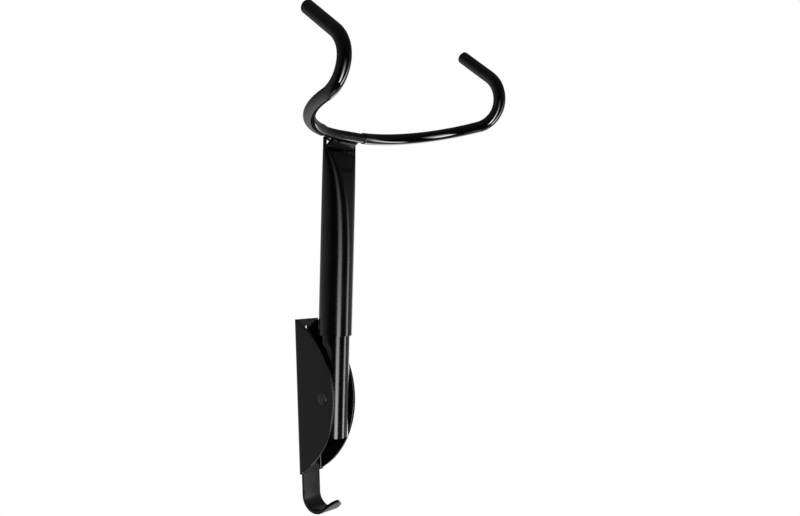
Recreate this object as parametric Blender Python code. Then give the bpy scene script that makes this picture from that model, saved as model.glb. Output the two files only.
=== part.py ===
"""Folding wall rack that holds one bicycle by its top tube, folded up against the wall.

Metres, +Z up. The origin is on the wall behind the fold rivet, and the room is on the -Y side.
Positions on a piece are given as across (X), forward (away from the wall or the arm's back) and up.
"""
import math

import bmesh
import bpy
from mathutils import Vector

MM = 0.001

# Clearances
GAP = 0.3 * MM                # between pieces that touch on the real rack
PIN_CLEARANCE = 0.35 * MM     # round a shank in its hole
SLEEVE_CLEARANCE = 0.45 * MM  # round the pivot tube inside the sleeve

# Wall bracket, one bent sheet
SHEET = 3.5 * MM
BRACKET_HEIGHT = 180.0 * MM
BRACKET_BEND = 1.5 * MM       # inner bend radius
EAR_DEPTH = 57.8 * MM         # wall to the ears' foremost point
SCREW_HOLE = 5.5 * MM
UPPER_HOLE_INSET = 10.0 * MM  # below the web's upper end
LOWER_HOLE_INSET = 34.0 * MM  # above the web's lower end

# Strap hook at the foot, the web's own tongue
STRAP_WIDTH = 26.8 * MM       # also the diameter of its round lip
STRAP_ROOT = 10.0 * MM        # length of tongue that overlaps the web
STRAP_DROP = 24.8 * MM        # web's lower end to the start of the curl
CURL_RADIUS = 18.2 * MM       # to the middle of the sheet
CURL_TURN = math.radians(131.8)
LIP_LENGTH = 12.4 * MM        # end of the curl to the tip

# Fold joint
PIVOT_FORWARD = 42.1 * MM
LEAN = math.radians(4.2)      # how far the folded arm leans out from the wall
RIVET_DIAMETER = 8.0 * MM
RIVET_HEAD = 14.0 * MM
RIVET_HEAD_HEIGHT = 2.4 * MM
RIVET_TAIL = 13.0 * MM
RIVET_TAIL_HEIGHT = 2.0 * MM
WASHER_DIAMETER = 18.0 * MM
WASHER_THICKNESS = 0.9 * MM
SPACER_WALL = 1.8 * MM

# Pivot tube
TUBE_DIAMETER = 33.7 * MM
TUBE_WALL = 2.0 * MM
TAIL_LENGTH = 45.5 * MM       # pivot to the tube's lower end
TAIL_SQUARE = 12.0 * MM       # the end is square forward of this, and cut away behind it
STOP_CLEARANCE = 0.3 * MM     # cut face to the web when the arm is down
TUBE_OVERLAP = 80.0 * MM      # length inside the sleeve
FLATS_DEPTH = 2.2 * MM        # pressed into each side of the tube between the ears
FLATS_TOP = 52.0 * MM         # the flats pressed into the tube's sides fade out above here
FLATS_FADE = 16.0 * MM

# Sleeve
SLEEVE_WALL = 2.0 * MM
SLEEVE_START = 71.4 * MM      # pivot to the sleeve's lower end
PRESS_LINE = 285.5 * MM       # pivot to where the sleeve is pressed fully flat
PRESSED_THICKNESS = 4.2 * MM
PRESSED_WIDTH = 54.6 * MM
PRESS_FORWARD = 0.3 * MM      # the pressed end lies this far forward of the arm's middle
PRESS_FADE = 31.0 * MM        # the flat dies away with this length down the sleeve
PRESS_REACH = 125.0 * MM
CAVITY_END = 4.0 * MM         # the hollow closes this far below the press line
TAB_WIDTH = 42.0 * MM         # middle part of the pressed end, bent forward to the rod
TAB_THICKNESS = 4.0 * MM
TAB_RISE = 1.5 * MM           # press line to the tab's bend
HORN_WIDTH = 3.6 * MM         # upright corners of the pressed end
HORN_HEIGHT = 11.0 * MM
FINGER_WIDTH = 10.0 * MM      # tab turned out from the sleeve's lower back edge
FINGER_REACH = 9.0 * MM
FINGER_DROP = 1.5 * MM        # the tab's lower face is this far below the sleeve's lower end
FINGER_BEND = 2.0 * MM
FINGER_ROOT = 6.0 * MM

# Swivel joint between the pivot tube and the sleeve
SWIVEL_LIMIT = math.radians(20.0)
SWIVEL_SCREW_UP = 14.0 * MM   # above the sleeve's lower end
SWIVEL_SCREW = 5.0 * MM
SWIVEL_HEAD = 9.5 * MM
SWIVEL_HEAD_HEIGHT = 2.4 * MM
SWIVEL_SCREW_DEPTH = 10.0 * MM
INSERT_WALL = 1.0 * MM
INSERT_COLLAR = 10.5 * MM
INSERT_COLLAR_LENGTH = 3.0 * MM

# Cradle rod, a flat U rolled over a side outline
ROD_DIAMETER = 11.0 * MM
CROSSBAR_RISE = 13.2 * MM     # press line to the rod's middle
CROSSBAR_FORWARD = 13.6 * MM
CROSSBAR_HALF = 14.8 * MM     # straight part each side of the middle
PLAN_RADIUS = 125.9 * MM
PLAN_TURN = math.radians(92.0)
LEG_SLOPE = math.radians(13.5)
LEG_LENGTH = 90.2 * MM        # crossbar to the start of the upward bend, along the slope
HOOK_RADIUS = 33.1 * MM
TIP_SLOPE = math.radians(35.8)
TIP_LENGTH = 50.0 * MM

# Dipped grips on the rod
GRIP_START_LEFT = 50.0 * MM   # across from the middle, as the two are dipped to unequal depths
GRIP_START_RIGHT = 25.0 * MM
GRIP_THIN = 13.0 * MM
GRIP_THICK = 14.6 * MM
GRIP_SWELL_START = 20.0 * MM  # the grip begins to thicken this far before the upward bend
GRIP_SWELL_LENGTH = 90.0 * MM
GRIP_TIP = 5.0 * MM           # end of the rod to the end of the grip
GRIP_CROWN = 4.4 * MM         # how far the blunt end is rounded

# Weld
BEAD_DIAMETER = 3.8 * MM
BEAD_LENGTH = 31.0 * MM

# Sizes that follow from those above
SLEEVE_DIAMETER = TUBE_DIAMETER + 2 * (SLEEVE_CLEARANCE + SLEEVE_WALL)
BRACKET_INNER_WIDTH = TUBE_DIAMETER + 2 * (WASHER_THICKNESS + 2 * GAP - FLATS_DEPTH)

# Fineness of the meshes
TUBE_SIDES = 36
ROD_SIDES = 12
PIN_SIDES = 24
EAR_STEPS = 28
CURL_STEPS = 13
LIP_STEPS = 7
PRESS_STEPS = 12
PRESS_CROWDING = 1.8          # power that crowds the rings toward the pressed end
FLATS_STEPS = 6
SLOT_STEPS = 12
BARE_STEPS = 3                # from the crossbar's straight part to a grip
PLAN_STEPS = 11
HOOK_STEPS = 14
DOME_STEPS = 4
BEND_STEPS = 5
SHARP_EDGE = math.radians(32.0)


def at(across, forward, up):
    """A point from its distances across, forward and up."""
    return Vector((across, -forward, up))


def clear_scene():
    """Empties the scene."""
    for thing in list(bpy.context.scene.objects):
        bpy.data.objects.remove(thing, do_unlink=True)


def material(name, color, roughness, metallic=0.0):
    """A plain Principled material."""
    made = bpy.data.materials.new(name)
    made.use_nodes = True
    shader = made.node_tree.nodes["Principled BSDF"]
    shader.inputs["Base Color"].default_value = (*color, 1.0)
    shader.inputs["Roughness"].default_value = roughness
    shader.inputs["Metallic"].default_value = metallic
    return made


def axis_empty(name, parent=None):
    """An empty that stands on a joint's axis."""
    empty = bpy.data.objects.new(name, None)
    empty.empty_display_size = 0.03
    bpy.context.scene.collection.objects.link(empty)
    empty.parent = parent
    return empty


def solid(name, rings, loop=False, surface=None, parent=None):
    """An object skinned over rings, which join up in a loop or are closed by a face at each end."""
    mesh = bpy.data.meshes.new(name)
    bm = bmesh.new()
    rows = [[bm.verts.new(point) for point in ring] for ring in rings]
    if loop:
        rows.append(rows[0])
    else:
        bm.faces.new(rows[0])
        bm.faces.new(rows[-1])
    for low, high in zip(rows, rows[1:]):
        count = len(low)
        for i in range(count):
            j = (i + 1) % count
            bm.faces.new((low[i], low[j], high[j], high[i]))
    bmesh.ops.recalc_face_normals(bm, faces=bm.faces)
    bm.to_mesh(mesh)
    bm.free()
    mesh.shade_smooth()
    mesh.set_sharp_from_angle(angle=SHARP_EDGE)
    thing = bpy.data.objects.new(name, mesh)
    bpy.context.scene.collection.objects.link(thing)
    thing.parent = parent
    if surface:
        mesh.materials.append(surface)
    return thing


def combine(target, tool, operation):
    """Adds, cuts or keeps what lies inside another solid, which stays as a guide."""
    tool.hide_render = True
    tool.display_type = "WIRE"
    modifier = target.modifiers.new(tool.name, "BOOLEAN")
    modifier.operation = operation
    modifier.object = tool


def arc(centre, radius, start, end, steps):
    """Points of an arc in a plane, as pairs."""
    angles = [start + (end - start) * k / steps for k in range(steps + 1)]
    return [(centre[0] + radius * math.cos(a), centre[1] + radius * math.sin(a)) for a in angles]


def circle(centre, side, other, radius, count):
    """A ring round a point, in the plane of two unit vectors."""
    angles = [2.0 * math.pi * (k + 0.5) / count for k in range(count)]
    return [centre + side * (radius * math.cos(a)) + other * (radius * math.sin(a)) for a in angles]


def turned(profile, origin, axis, side, count):
    """Rings of a round piece from pairs of distance along its axis and radius."""
    other = axis.cross(side)
    return [circle(origin + axis * distance, side, other, radius, count) for distance, radius in profile]


def round_pin(name, length, diameter, origin, axis, side, parent=None):
    """A plain round pin centred on a point, for cutting holes."""
    profile = [(-length / 2, diameter / 2), (length / 2, diameter / 2)]
    return solid(name, turned(profile, origin, axis, side, PIN_SIDES), parent=parent)


def strip(path, half_width, thickness, across=0.0):
    """Rings of a bent flat strip along a path of (forward, up) pairs, with a half width for each point."""
    rings = []
    for k, (forward, up) in enumerate(path):
        before, after = path[max(k - 1, 0)], path[min(k + 1, len(path) - 1)]
        along = Vector((after[0] - before[0], after[1] - before[1])).normalized()
        reach = (-along.y * thickness / 2, along.x * thickness / 2)
        low = (forward - reach[0], up - reach[1])
        high = (forward + reach[0], up + reach[1])
        wide = half_width[k]
        rings.append([at(across - wide, *low), at(across + wide, *low),
                      at(across + wide, *high), at(across - wide, *high)])
    return rings


def prism(outline, low, high):
    """Two rings of an outline of (forward, up) pairs, from one place across to another."""
    return [[at(across, forward, up) for forward, up in outline] for across in (low, high)]


def squashed(radius, flat, forward, up):
    """A ring of a tube squashed from front to back, with flats of a half length and round sides."""
    ring = circle(at(0, forward, up), Vector((1, 0, 0)), at(0, 1, 0), radius, TUBE_SIDES)
    for point in ring:
        point.x += math.copysign(flat, point.x)
    return ring


def stop_angle():
    """Lean of the arm from upright when its cut tail meets the web."""
    reach = PIVOT_FORWARD - SHEET - STOP_CLEARANCE
    return (math.asin(reach / math.hypot(TAIL_LENGTH, TAIL_SQUARE))
            + math.atan2(TAIL_SQUARE, TAIL_LENGTH))


def channel_section(up):
    """The bracket's U section: outer contour and back along the inner one."""
    outer = BRACKET_INNER_WIDTH / 2 + SHEET
    inner = BRACKET_INNER_WIDTH / 2
    bend = BRACKET_BEND + SHEET
    front = EAR_DEPTH + SHEET
    right, left = math.pi * 1.5, math.pi
    pairs = [(-outer, front)]
    pairs += arc((-outer + bend, bend), bend, left, right, BEND_STEPS)
    pairs += arc((outer - bend, bend), bend, -math.pi / 2, 0.0, BEND_STEPS)
    pairs += [(outer, front), (inner, front)]
    pairs += arc((outer - bend, bend), BRACKET_BEND, 0.0, -math.pi / 2, BEND_STEPS)
    pairs += arc((-outer + bend, bend), BRACKET_BEND, right, left, BEND_STEPS)
    pairs += [(-inner, front)]
    return [at(across, forward, up) for across, forward in pairs]


def ear_outline():
    """Side outline that the channel is trimmed to: the web's full height and a round front edge."""
    half = BRACKET_HEIGHT / 2
    radius = (half * half + EAR_DEPTH * EAR_DEPTH) / (2.0 * EAR_DEPTH)
    swing = math.acos((radius - EAR_DEPTH + SHEET) / radius)
    beyond = half + SHEET
    front = arc((EAR_DEPTH - radius, 0.0), radius, -swing, swing, EAR_STEPS)
    return [(-SHEET, -beyond), (SHEET, -beyond), *front, (SHEET, beyond), (-SHEET, beyond)]


def strap_point(length):
    """Middle line of the tongue at a length below the web: down, round the curl and out along the lip."""
    turn = min(max((length - STRAP_DROP) / CURL_RADIUS, 0.0), CURL_TURN)
    heading = turn - math.pi / 2
    beyond = max(length - STRAP_DROP - CURL_RADIUS * CURL_TURN, 0.0)
    forward = SHEET / 2 + CURL_RADIUS * (1.0 - math.cos(turn)) + beyond * math.cos(heading)
    down = min(length, STRAP_DROP) + CURL_RADIUS * math.sin(turn) - beyond * math.sin(heading)
    return forward, -BRACKET_HEIGHT / 2 - down


def strap_rings():
    """The tongue at its full width, and a half circle at its lip."""
    full = STRAP_WIDTH / 2
    total = STRAP_DROP + CURL_RADIUS * CURL_TURN + LIP_LENGTH
    straight = total - full
    curl = [STRAP_DROP + (straight - STRAP_DROP) * k / CURL_STEPS for k in range(CURL_STEPS)]
    rounding = [k * math.pi / 2 / LIP_STEPS for k in range(LIP_STEPS)]
    lengths = [-STRAP_ROOT] + curl + [straight + full * math.sin(angle) for angle in rounding]
    half_widths = [full] * (1 + CURL_STEPS) + [full * math.cos(angle) for angle in rounding]
    return strip([strap_point(length) for length in lengths], half_widths, SHEET)


def make_wall_bracket(surface):
    """Web, two ears and strap hook, all one sheet."""
    half = BRACKET_HEIGHT / 2
    bracket = solid("wall_bracket", [channel_section(-half), channel_section(half)], surface=surface)
    wide = BRACKET_INNER_WIDTH / 2 + 2 * SHEET
    combine(bracket, solid("ear_outline", prism(ear_outline(), -wide, wide)), "INTERSECT")
    combine(bracket, solid("strap", strap_rings()), "UNION")
    across, forward, up = Vector((1, 0, 0)), at(0, 1, 0), Vector((0, 0, 1))
    pivot = at(0, PIVOT_FORWARD, 0)
    hole = RIVET_DIAMETER + 2 * PIN_CLEARANCE
    combine(bracket, round_pin("rivet_hole", 4 * wide, hole, pivot, across, up), "DIFFERENCE")
    for name, height in (("upper_screw_hole", half - UPPER_HOLE_INSET),
                         ("lower_screw_hole", LOWER_HOLE_INSET - half)):
        place = at(0, 0, height)
        combine(bracket, round_pin(name, 4 * SHEET, SCREW_HOLE, place, forward, across), "DIFFERENCE")


def dome(radius, height):
    """Pairs of distance and radius for a dome, from its rim to near its crown."""
    angles = [math.pi / 2 * k / (DOME_STEPS + 1) for k in range(DOME_STEPS + 1)]
    return [(height * math.sin(a), radius * math.cos(a)) for a in angles]


def make_pivot_rivet(surface):
    """Rivet through both ears, with a domed head on the left and a set tail on the right."""
    face = BRACKET_INNER_WIDTH / 2 + SHEET + GAP
    head = [(face + distance, radius) for distance, radius in dome(RIVET_HEAD / 2, RIVET_HEAD_HEIGHT)]
    tail = [(face + distance, radius) for distance, radius in dome(RIVET_TAIL / 2, RIVET_TAIL_HEIGHT)]
    shank = RIVET_DIAMETER / 2
    profile = [(-distance, radius) for distance, radius in reversed(head)]
    profile += [(-face, shank), (face, shank)]
    profile += tail
    rings = turned(profile, at(0, PIVOT_FORWARD, 0), Vector((1, 0, 0)), Vector((0, 0, 1)), PIN_SIDES)
    solid("pivot_rivet", rings, surface=surface)


def collar(low, high, inner, outer, origin, axis, side):
    """Rings of a plain collar or washer between two places on an axis."""
    profile = [(low, outer), (high, outer), (high, inner), (low, inner)]
    return turned(profile, origin, axis, side, PIN_SIDES)


def flats_half_width():
    """Half width of the pivot tube across its flats."""
    return TUBE_DIAMETER / 2 - FLATS_DEPTH


def make_pivot_washers(surface):
    """A friction washer between each ear and the tube."""
    inner = RIVET_DIAMETER / 2 + PIN_CLEARANCE
    low = flats_half_width() + GAP
    high = low + WASHER_THICKNESS
    origin, up = at(0, PIVOT_FORWARD, 0), Vector((0, 0, 1))
    for name, outward in (("pivot_washer_left", -1), ("pivot_washer_right", 1)):
        rings = collar(low, high, inner, WASHER_DIAMETER / 2, origin, Vector((outward, 0, 0)), up)
        solid(name, rings, True, surface)


def make_pivot_spacer(surface, fold_axis):
    """Tube on the rivet that keeps the pivot tube from being crushed."""
    inner = RIVET_DIAMETER / 2 + PIN_CLEARANCE
    outer = inner + SPACER_WALL
    reach = flats_half_width() - TUBE_WALL - GAP
    rings = collar(-reach, reach, inner, outer, Vector(), Vector((1, 0, 0)), Vector((0, 0, 1)))
    solid("pivot_spacer", rings, True, surface, fold_axis)


def smooth(share):
    """Eases from 0 to 1 as the share goes from 0 to 1."""
    share = min(max(share, 0.0), 1.0)
    return share * share * (3.0 - 2.0 * share)


def flatted(radius, half_width, up):
    """A ring of a round tube whose sides are pressed flat to a half width."""
    ring = circle(at(0, 0, up), Vector((1, 0, 0)), at(0, 1, 0), radius, TUBE_SIDES)
    for point in ring:
        point.x = min(max(point.x, -half_width), half_width)
    return ring


def make_pivot_tube(surface, fold_axis):
    """Lower tube, flat-sided at the rivet and cut away at its lower back so that it can swing down."""
    top = SLEEVE_START + TUBE_OVERLAP
    fade = [FLATS_TOP + FLATS_FADE * k / FLATS_STEPS for k in range(FLATS_STEPS + 1)]
    heights = [-TAIL_LENGTH] + fade + [top]
    radius = TUBE_DIAMETER / 2
    narrow = flats_half_width()
    outer = []
    inner = []
    for up in heights:
        half_width = narrow + (radius - narrow) * smooth((up - FLATS_TOP) / FLATS_FADE)
        outer.append(flatted(radius, half_width, up))
        inner.append(flatted(radius - TUBE_WALL, half_width - TUBE_WALL, up))
    tube = solid("pivot_tube", outer + inner[::-1], True, surface, fold_axis)
    across, forward, up = Vector((1, 0, 0)), at(0, 1, 0), Vector((0, 0, 1))
    hole = RIVET_DIAMETER + 2 * PIN_CLEARANCE
    combine(tube, round_pin("tube_rivet_hole", 2 * TUBE_DIAMETER, hole, Vector(), across, up, fold_axis),
            "DIFFERENCE")
    lean = stop_angle()
    toward_wall = Vector((-math.cos(lean), -math.sin(lean)))
    along_cut = Vector((-math.sin(lean), math.cos(lean)))
    corner = Vector((TAIL_SQUARE, -TAIL_LENGTH))
    wedge = [corner - along_cut * TUBE_DIAMETER, corner + along_cut * 2 * TUBE_DIAMETER]
    wedge += [point + toward_wall * TUBE_DIAMETER for point in reversed(wedge)]
    rings = prism([tuple(point) for point in wedge], -TUBE_DIAMETER, TUBE_DIAMETER)
    combine(tube, solid("tail_cut", rings, parent=fold_axis), "DIFFERENCE")
    place = at(0, -TUBE_DIAMETER / 2, SLEEVE_START + SWIVEL_SCREW_UP)
    seat = insert_diameter() + 2 * GAP
    seat_pin = round_pin("insert_hole", 4 * TUBE_WALL, seat, place, forward, across, fold_axis)
    combine(tube, seat_pin, "DIFFERENCE")


def press_flat(below):
    """Half length of the sleeve's flats at a distance below the press line."""
    full = (PRESSED_WIDTH - PRESSED_THICKNESS) / 2
    if below >= PRESS_REACH:
        return 0.0
    last = math.exp(-PRESS_REACH / PRESS_FADE)
    return full * (math.exp(-below / PRESS_FADE) - last) / (1.0 - last)


def sleeve_rings():
    """Inner rings from the closed top down, then outer rings from the bottom up to the pressed end."""
    distances = [PRESS_REACH * (k / PRESS_STEPS) ** PRESS_CROWDING for k in range(PRESS_STEPS + 1)]
    heights = [SLEEVE_START] + [PRESS_LINE - below for below in reversed(distances)]
    heights.append(PRESS_LINE + TAB_RISE)
    outer = []
    inner = []
    full = press_flat(0.0)
    for up in heights:
        flat = press_flat(max(PRESS_LINE - up, 0.0))
        radius = (SLEEVE_DIAMETER - (SLEEVE_DIAMETER - PRESSED_THICKNESS) * flat / full) / 2
        forward = PRESS_FORWARD * flat / full
        outer.append(squashed(radius, flat, forward, up))
        if up <= PRESS_LINE - CAVITY_END:
            inner.append(squashed(radius - SLEEVE_WALL, flat, forward, up))
    return inner[::-1] + outer


def tab_bend():
    """How far the middle of the pressed end bends forward to point at the rod's middle."""
    return math.atan2(CROSSBAR_FORWARD - PRESS_FORWARD, CROSSBAR_RISE - TAB_RISE)


def make_arm_sleeve(surface, swivel_axis):
    """Upper tube, pressed flat at its top, with the rod's tab there and a finger tab at its foot."""
    sleeve = solid("arm_sleeve", sleeve_rings(), surface=surface, parent=swivel_axis)
    crease = PRESS_LINE + TAB_RISE
    bend = tab_bend()
    length = math.hypot(CROSSBAR_FORWARD - PRESS_FORWARD, CROSSBAR_RISE - TAB_RISE) - ROD_DIAMETER / 2 - GAP
    path = [(PRESS_FORWARD, crease - 2 * TAB_THICKNESS), (PRESS_FORWARD, crease),
            (PRESS_FORWARD + length * math.sin(bend), crease + length * math.cos(bend))]
    rings = strip(path, [TAB_WIDTH / 2] * 3, TAB_THICKNESS)
    combine(sleeve, solid("rod_tab", rings, parent=swivel_axis), "UNION")
    half_end = PRESSED_WIDTH / 2
    for name, side in (("horn_left", -1), ("horn_right", 1)):
        path = [(PRESS_FORWARD, crease - TAB_THICKNESS), (PRESS_FORWARD, PRESS_LINE + HORN_HEIGHT)]
        across = side * (half_end - HORN_WIDTH / 2 - GAP)
        rings = strip(path, [HORN_WIDTH / 2] * 2, PRESSED_THICKNESS - 2 * GAP, across)
        combine(sleeve, solid(name, rings, parent=swivel_axis), "UNION")
    back = -(SLEEVE_DIAMETER - SLEEVE_WALL) / 2
    foot = SLEEVE_START - FINGER_DROP + SLEEVE_WALL / 2
    path = [(back, foot + FINGER_BEND + FINGER_ROOT)]
    path += arc((back - FINGER_BEND, foot + FINGER_BEND), FINGER_BEND, 0.0, -math.pi / 2, BEND_STEPS)
    path.append((-SLEEVE_DIAMETER / 2 - FINGER_REACH, foot))
    rings = strip(path, [FINGER_WIDTH / 2] * len(path), SLEEVE_WALL)
    combine(sleeve, solid("finger_tab", rings, parent=swivel_axis), "UNION")
    combine(sleeve, solid("swivel_slot", slot_rings(), parent=swivel_axis), "DIFFERENCE")


def slot_rings():
    """Cutter for the slot at the sleeve's back in which the swivel screw stands."""
    half_height = SWIVEL_SCREW / 2 + PIN_CLEARANCE
    up = SLEEVE_START + SWIVEL_SCREW_UP
    low = TUBE_DIAMETER / 2 - TUBE_WALL
    high = SLEEVE_DIAMETER / 2 + TUBE_WALL
    reach = SWIVEL_LIMIT + math.asin(half_height / (TUBE_DIAMETER / 2))
    corners = [(low, -half_height), (high, -half_height), (high, half_height), (low, half_height)]
    rings = []
    for k in range(SLOT_STEPS + 1):
        angle = reach * (2 * k / SLOT_STEPS - 1)
        rings.append([at(radius * math.sin(angle), -radius * math.cos(angle), up + height)
                      for radius, height in corners])
    return rings


def insert_diameter():
    """Outer diameter of the threaded insert's barrel."""
    return SWIVEL_SCREW + 2 * PIN_CLEARANCE + 2 * INSERT_WALL


def make_swivel_screw(surface, fold_axis):
    """Low-headed screw from behind, through the sleeve's slot into the pivot tube's insert."""
    seat = SLEEVE_DIAMETER / 2 + GAP
    head, shank = SWIVEL_HEAD / 2, SWIVEL_SCREW / 2
    crown = reversed(dome(head, SWIVEL_HEAD_HEIGHT))
    profile = [(-seat - distance, radius) for distance, radius in crown]
    profile += [(-seat, shank), (-SWIVEL_SCREW_DEPTH, shank)]
    origin = at(0, 0, SLEEVE_START + SWIVEL_SCREW_UP)
    rings = turned(profile, origin, at(0, 1, 0), Vector((1, 0, 0)), PIN_SIDES)
    solid("swivel_screw", rings, surface=surface, parent=fold_axis)


def make_swivel_insert(surface, fold_axis):
    """Threaded insert in the pivot tube's back wall, with its collar inside."""
    inner = SWIVEL_SCREW / 2 + PIN_CLEARANCE
    barrel = insert_diameter() / 2
    outside = TUBE_DIAMETER / 2 - GAP
    bore = TUBE_DIAMETER / 2 - TUBE_WALL
    shoulder = math.sqrt(bore * bore - (INSERT_COLLAR / 2) ** 2) - GAP
    end = shoulder - INSERT_COLLAR_LENGTH
    collar_radius = INSERT_COLLAR / 2
    profile = [(-outside, barrel), (-shoulder, barrel), (-shoulder, collar_radius), (-end, collar_radius),
               (-end, inner), (-outside, inner)]
    origin = at(0, 0, SLEEVE_START + SWIVEL_SCREW_UP)
    rings = turned(profile, origin, at(0, 1, 0), Vector((1, 0, 0)), PIN_SIDES)
    solid("swivel_rivet_nut", rings, True, surface, fold_axis)


def plan_offset(length):
    """How far across the rod is at a length along the side outline."""
    if length < PLAN_RADIUS * (1.0 - math.cos(PLAN_TURN)):
        turn = math.acos(1.0 - length / PLAN_RADIUS)
        return CROSSBAR_HALF + PLAN_RADIUS * math.sin(turn)
    straight = length - PLAN_RADIUS * (1.0 - math.cos(PLAN_TURN))
    return CROSSBAR_HALF + PLAN_RADIUS * math.sin(PLAN_TURN) + straight / math.tan(PLAN_TURN)


def side_outline(length):
    """Forward and up of the rod at a length along the side outline: leg, upward bend, tip."""
    full_turn = math.pi - TIP_SLOPE - LEG_SLOPE
    leg = min(length, LEG_LENGTH)
    turn = min(max((length - LEG_LENGTH) / HOOK_RADIUS, 0.0), full_turn)
    tip = max(length - LEG_LENGTH - HOOK_RADIUS * full_turn, 0.0)
    heading = LEG_SLOPE + turn
    forward = leg * math.cos(LEG_SLOPE) + HOOK_RADIUS * (math.sin(heading) - math.sin(LEG_SLOPE))
    up = leg * math.sin(LEG_SLOPE) + HOOK_RADIUS * (math.cos(LEG_SLOPE) - math.cos(heading))
    return forward + tip * math.cos(heading), up + tip * math.sin(heading)


def half_rod(grip_start):
    """Middle line of the rod's right half, from beside its middle to the end of the grip."""
    grip_turn = math.asin((grip_start - CROSSBAR_HALF) / PLAN_RADIUS)
    last_turn = math.acos(1.0 - LEG_LENGTH / PLAN_RADIUS)
    turns = [grip_turn * k / BARE_STEPS for k in range(1, BARE_STEPS)]
    turns += [grip_turn + (last_turn - grip_turn) * k / PLAN_STEPS for k in range(PLAN_STEPS)]
    lengths = [PLAN_RADIUS * (1.0 - math.cos(turn)) for turn in turns]
    hook = HOOK_RADIUS * (math.pi - TIP_SLOPE - LEG_SLOPE)
    lengths += [LEG_LENGTH + hook * k / HOOK_STEPS for k in range(HOOK_STEPS + 1)]
    lengths.append(LEG_LENGTH + hook + TIP_LENGTH)
    crossbar_up = PRESS_LINE + CROSSBAR_RISE
    points = [at(CROSSBAR_HALF, CROSSBAR_FORWARD, crossbar_up)]
    for length in lengths:
        forward, up = side_outline(length)
        points.append(at(plan_offset(length), CROSSBAR_FORWARD + forward, crossbar_up + up))
    return points


def framed(points):
    """Each point of a line with two unit vectors square to it that turn as little as they can."""
    frames = []
    side = Vector((0, 0, 1))
    for k, point in enumerate(points):
        along = (points[min(k + 1, len(points) - 1)] - points[max(k - 1, 0)]).normalized()
        side = (side - along * side.dot(along)).normalized()
        frames.append((point, along, side))
    return frames


def rod_ring(frame, radius, shift=0.0):
    """A ring of the rod or its grip, moved on along the rod by a shift."""
    point, along, side = frame
    return circle(point + along * shift, side, along.cross(side), radius, ROD_SIDES)


def mirrored(rings):
    """The same rings on the rack's other side."""
    return [[Vector((-point.x, point.y, point.z)) for point in ring] for ring in rings]


def half_rod_rings(grip_start):
    """Rings of the rod's right half, from beside its middle to the rod's end."""
    frames = framed(half_rod(grip_start))
    radius = ROD_DIAMETER / 2
    return [rod_ring(frame, radius) for frame in frames[:-1]] + [rod_ring(frames[-1], radius, -GRIP_TIP)]


def make_cradle_rod(surface, swivel_axis):
    """Bent bar through both grips, from end to end."""
    left = mirrored(half_rod_rings(GRIP_START_LEFT))
    rings = left[::-1] + half_rod_rings(GRIP_START_RIGHT)
    solid("cradle_rod", rings, surface=surface, parent=swivel_axis)


def grip_rings(grip_start):
    """Inner rings from the rod's end back to the grip's edge, then outer rings out to the blunt tip."""
    frames = framed(half_rod(grip_start))[BARE_STEPS:]
    bore = ROD_DIAMETER / 2 + GAP
    inner = [rod_ring(frame, bore) for frame in frames[:-1]]
    inner.append(rod_ring(frames[-1], bore, GAP - GRIP_TIP))
    lengths = [0.0]
    for before, after in zip(frames, frames[1:]):
        lengths.append(lengths[-1] + (after[0] - before[0]).length)
    thin, thick = GRIP_THIN / 2, GRIP_THICK / 2
    outer = []
    swell = lengths[PLAN_STEPS] - GRIP_SWELL_START
    for frame, length in zip(frames[:-1], lengths):
        radius = thin + (thick - thin) * smooth((length - swell) / GRIP_SWELL_LENGTH)
        outer.append(rod_ring(frame, radius))
    for distance, radius in dome(thick, GRIP_CROWN):
        outer.append(rod_ring(frames[-1], radius, distance - GRIP_CROWN))
    return inner[::-1] + outer


def make_grips(surface, swivel_axis):
    """The two dipped coats, each closed round its rod end."""
    left = mirrored(grip_rings(GRIP_START_LEFT))
    solid("cradle_grip_left", left, surface=surface, parent=swivel_axis)
    solid("cradle_grip_right", grip_rings(GRIP_START_RIGHT), surface=surface, parent=swivel_axis)


def make_weld_beads(surface, swivel_axis):
    """Two weld beads, above and below the tab where it meets the rod."""
    bead = BEAD_DIAMETER / 2
    away = ROD_DIAMETER / 2 + GAP + bead
    spread = math.asin((TAB_THICKNESS / 2 + GAP + bead) / away)
    for name, side in (("weld_bead_lower", -1), ("weld_bead_upper", 1)):
        angle = tab_bend() + math.pi + side * spread
        centre = (CROSSBAR_FORWARD + away * math.sin(angle),
                  PRESS_LINE + CROSSBAR_RISE + away * math.cos(angle))
        profile = [(-BEAD_LENGTH / 2, bead / 2), (bead - BEAD_LENGTH / 2, bead),
                   (BEAD_LENGTH / 2 - bead, bead), (BEAD_LENGTH / 2, bead / 2)]
        rings = turned(profile, at(0, *centre), Vector((1, 0, 0)), Vector((0, 0, 1)), ROD_SIDES)
        solid(name, rings, surface=surface, parent=swivel_axis)


def build():
    """Makes the whole rack."""
    clear_scene()
    paint = material("satin_black", (0.018, 0.018, 0.02), 0.38)
    coat = material("gloss_black", (0.012, 0.012, 0.013), 0.16)
    steel = material("black_steel", (0.05, 0.05, 0.055), 0.42, 0.7)
    nylon = material("nylon", (0.03, 0.03, 0.03), 0.5)
    fold_axis = axis_empty("fold_axis")
    fold_axis.location = at(0, PIVOT_FORWARD, 0)
    fold_axis.rotation_euler = (LEAN, 0.0, 0.0)
    swivel_axis = axis_empty("swivel_axis", fold_axis)
    make_wall_bracket(paint)
    make_pivot_rivet(steel)
    make_pivot_washers(nylon)
    make_pivot_spacer(steel, fold_axis)
    make_pivot_tube(paint, fold_axis)
    make_swivel_screw(steel, fold_axis)
    make_swivel_insert(steel, fold_axis)
    make_arm_sleeve(paint, swivel_axis)
    make_cradle_rod(paint, swivel_axis)
    make_grips(coat, swivel_axis)
    make_weld_beads(paint, swivel_axis)


build()
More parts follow.
